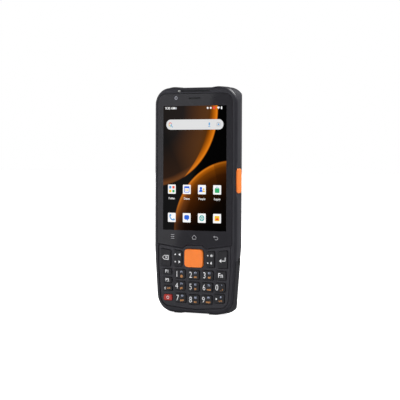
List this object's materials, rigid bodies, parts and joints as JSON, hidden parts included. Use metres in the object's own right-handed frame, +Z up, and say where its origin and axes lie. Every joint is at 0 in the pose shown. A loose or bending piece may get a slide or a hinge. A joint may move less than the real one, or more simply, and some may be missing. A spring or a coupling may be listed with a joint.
{
  "type": "handheld data terminal",
  "caption": "Rugged handheld data terminal with a touch screen, numeric keypad, a scan key on the front, a scan button on the right side, scan window, rear camera and lift-off battery.",
  "frame": {"origin": "middle of the housings in plan, on the underside of the foot pads", "axes": "+Z up the long side with the handset standing on its foot pads, -Y out of the screen towards the user, +X to the user's right"},
  "size_m": [0.0682, 0.017, 0.159],
  "materials": {
    "housing_plastic": "fine moulded texture",
    "panel_plastic": "satin",
    "key_plastic": "satin",
    "orange_plastic": "satin",
    "red_plastic": "satin",
    "bumper_rubber": "soft matte",
    "seal_rubber": "matte",
    "cover_glass": "polished",
    "display": "gloss black",
    "chassis_metal": "satin",
    "contact_metal": "satin",
    "circuit_board": "solder resist",
    "switch_plastic": "matte",
    "red_window": "dark red tinted",
    "grille_plastic": "fine mesh",
    "clear_plastic": "frosted",
    "bezel_metal": "anodised",
    "camera_glass": "polished",
    "battery_wrap": "satin sleeve",
    "latch_plastic": "satin",
    "gold_contacts": "plated",
    "screw_steel": "black oxide"
  },
  "bodies": {
    "handset": {"front_housing": "housing_plastic", "rear_housing": "housing_plastic", "mid_frame": "chassis_metal", "keypad_bracket": "chassis_metal", "touch_lens": "cover_glass", "lens_gasket": "seal_rubber", "lcd_module": "display", "keypad_panel": "panel_plastic", "keypad_mat": "seal_rubber", "keypad_board": "circuit_board", "dome_switches": "contact_metal", "side_switch": "switch_plastic", "main_board": "circuit_board", "shield_cans": "chassis_metal", "scan_engine": "switch_plastic", "scan_window": "red_window", "earpiece": "switch_plastic", "speaker": "switch_plastic", "top_grille": "grille_plastic", "status_light": "clear_plastic", "front_camera": "switch_plastic", "rear_camera": "switch_plastic", "camera_bezel": "bezel_metal", "camera_glass": "camera_glass", "flash_window": "clear_plastic", "battery_contacts": "switch_plastic", "usb_port": "chassis_metal", "dock_contacts": "gold_contacts", "housing_screws": "screw_steel", "strap_pins": "screw_steel", "top_left_bumper": "bumper_rubber", "top_right_bumper": "bumper_rubber", "rear_grip": "bumper_rubber", "foot_pads": "bumper_rubber"},
    "backspace_key": {"backspace_key": "key_plastic"},
    "scan_key": {"scan_key": "orange_plastic"},
    "enter_key": {"enter_key": "key_plastic"},
    "p1_key": {"p1_key": "key_plastic"},
    "p2_key": {"p2_key": "key_plastic"},
    "shift_key": {"shift_key": "key_plastic"},
    "power_key": {"power_key": "red_plastic"},
    "key_1": {"key_1": "key_plastic"},
    "key_2": {"key_2": "key_plastic"},
    "key_3": {"key_3": "key_plastic"},
    "fn_key": {"fn_key": "key_plastic"},
    "key_4": {"key_4": "key_plastic"},
    "key_5": {"key_5": "key_plastic"},
    "key_6": {"key_6": "key_plastic"},
    "key_0": {"key_0": "key_plastic"},
    "key_7": {"key_7": "key_plastic"},
    "key_8": {"key_8": "key_plastic"},
    "key_9": {"key_9": "key_plastic"},
    "dot_key": {"dot_key": "key_plastic"},
    "left_rocker": {"left_rocker": "key_plastic"},
    "right_rocker": {"right_rocker": "key_plastic"},
    "side_scan_button": {"side_scan_button": "orange_plastic"},
    "battery_unit": {"battery_door": "housing_plastic", "battery_pack": "battery_wrap"},
    "battery_latch": {"battery_latch": "latch_plastic"}
  },
  "joints": [
    {"name": "backspace_key_press", "type": "slide", "parent": "handset", "child": "backspace_key", "axis": [0, 1, 0], "range_m": [0, 0.0004], "stiffness_N_per_m": 800},
    {"name": "scan_key_press", "type": "slide", "parent": "handset", "child": "scan_key", "axis": [0, 1, 0], "range_m": [0, 0.0004], "stiffness_N_per_m": 800},
    {"name": "enter_key_press", "type": "slide", "parent": "handset", "child": "enter_key", "axis": [0, 1, 0], "range_m": [0, 0.0004], "stiffness_N_per_m": 800},
    {"name": "p1_key_press", "type": "slide", "parent": "handset", "child": "p1_key", "axis": [0, 1, 0], "range_m": [0, 0.0004], "stiffness_N_per_m": 800},
    {"name": "p2_key_press", "type": "slide", "parent": "handset", "child": "p2_key", "axis": [0, 1, 0], "range_m": [0, 0.0004], "stiffness_N_per_m": 800},
    {"name": "shift_key_press", "type": "slide", "parent": "handset", "child": "shift_key", "axis": [0, 1, 0], "range_m": [0, 0.0004], "stiffness_N_per_m": 800},
    {"name": "power_key_press", "type": "slide", "parent": "handset", "child": "power_key", "axis": [0, 1, 0], "range_m": [0, 0.0004], "stiffness_N_per_m": 800},
    {"name": "key_1_press", "type": "slide", "parent": "handset", "child": "key_1", "axis": [0, 1, 0], "range_m": [0, 0.0004], "stiffness_N_per_m": 800},
    {"name": "key_2_press", "type": "slide", "parent": "handset", "child": "key_2", "axis": [0, 1, 0], "range_m": [0, 0.0004], "stiffness_N_per_m": 800},
    {"name": "key_3_press", "type": "slide", "parent": "handset", "child": "key_3", "axis": [0, 1, 0], "range_m": [0, 0.0004], "stiffness_N_per_m": 800},
    {"name": "fn_key_press", "type": "slide", "parent": "handset", "child": "fn_key", "axis": [0, 1, 0], "range_m": [0, 0.0004], "stiffness_N_per_m": 800},
    {"name": "key_4_press", "type": "slide", "parent": "handset", "child": "key_4", "axis": [0, 1, 0], "range_m": [0, 0.0004], "stiffness_N_per_m": 800},
    {"name": "key_5_press", "type": "slide", "parent": "handset", "child": "key_5", "axis": [0, 1, 0], "range_m": [0, 0.0004], "stiffness_N_per_m": 800},
    {"name": "key_6_press", "type": "slide", "parent": "handset", "child": "key_6", "axis": [0, 1, 0], "range_m": [0, 0.0004], "stiffness_N_per_m": 800},
    {"name": "key_0_press", "type": "slide", "parent": "handset", "child": "key_0", "axis": [0, 1, 0], "range_m": [0, 0.0004], "stiffness_N_per_m": 800},
    {"name": "key_7_press", "type": "slide", "parent": "handset", "child": "key_7", "axis": [0, 1, 0], "range_m": [0, 0.0004], "stiffness_N_per_m": 800},
    {"name": "key_8_press", "type": "slide", "parent": "handset", "child": "key_8", "axis": [0, 1, 0], "range_m": [0, 0.0004], "stiffness_N_per_m": 800},
    {"name": "key_9_press", "type": "slide", "parent": "handset", "child": "key_9", "axis": [0, 1, 0], "range_m": [0, 0.0004], "stiffness_N_per_m": 800},
    {"name": "dot_key_press", "type": "slide", "parent": "handset", "child": "dot_key", "axis": [0, 1, 0], "range_m": [0, 0.0004], "stiffness_N_per_m": 800},
    {"name": "left_rocker_rock", "type": "hinge", "parent": "handset", "child": "left_rocker", "pos_m": [-0.0135, -0.00595, 0.0385], "axis": [1, 0, 0], "range_deg": [-3, 3], "stiffness_Nm_per_rad": 0.02},
    {"name": "right_rocker_rock", "type": "hinge", "parent": "handset", "child": "right_rocker", "pos_m": [0.0135, -0.00595, 0.0385], "axis": [1, 0, 0], "range_deg": [-3, 3], "stiffness_Nm_per_rad": 0.02},
    {"name": "side_scan_button_press", "type": "slide", "parent": "handset", "child": "side_scan_button", "axis": [-1, 0, 0], "range_m": [0, 0.0006], "stiffness_N_per_m": 1200},
    {"name": "battery_lift_off", "type": "slide", "parent": "handset", "child": "battery_unit", "axis": [0, 1, 0], "range_m": [0, 0.03]},
    {"name": "battery_latch_slide", "type": "slide", "parent": "handset", "child": "battery_latch", "axis": [0, 0, 1], "range_m": [0, 0.003]}
  ]
}
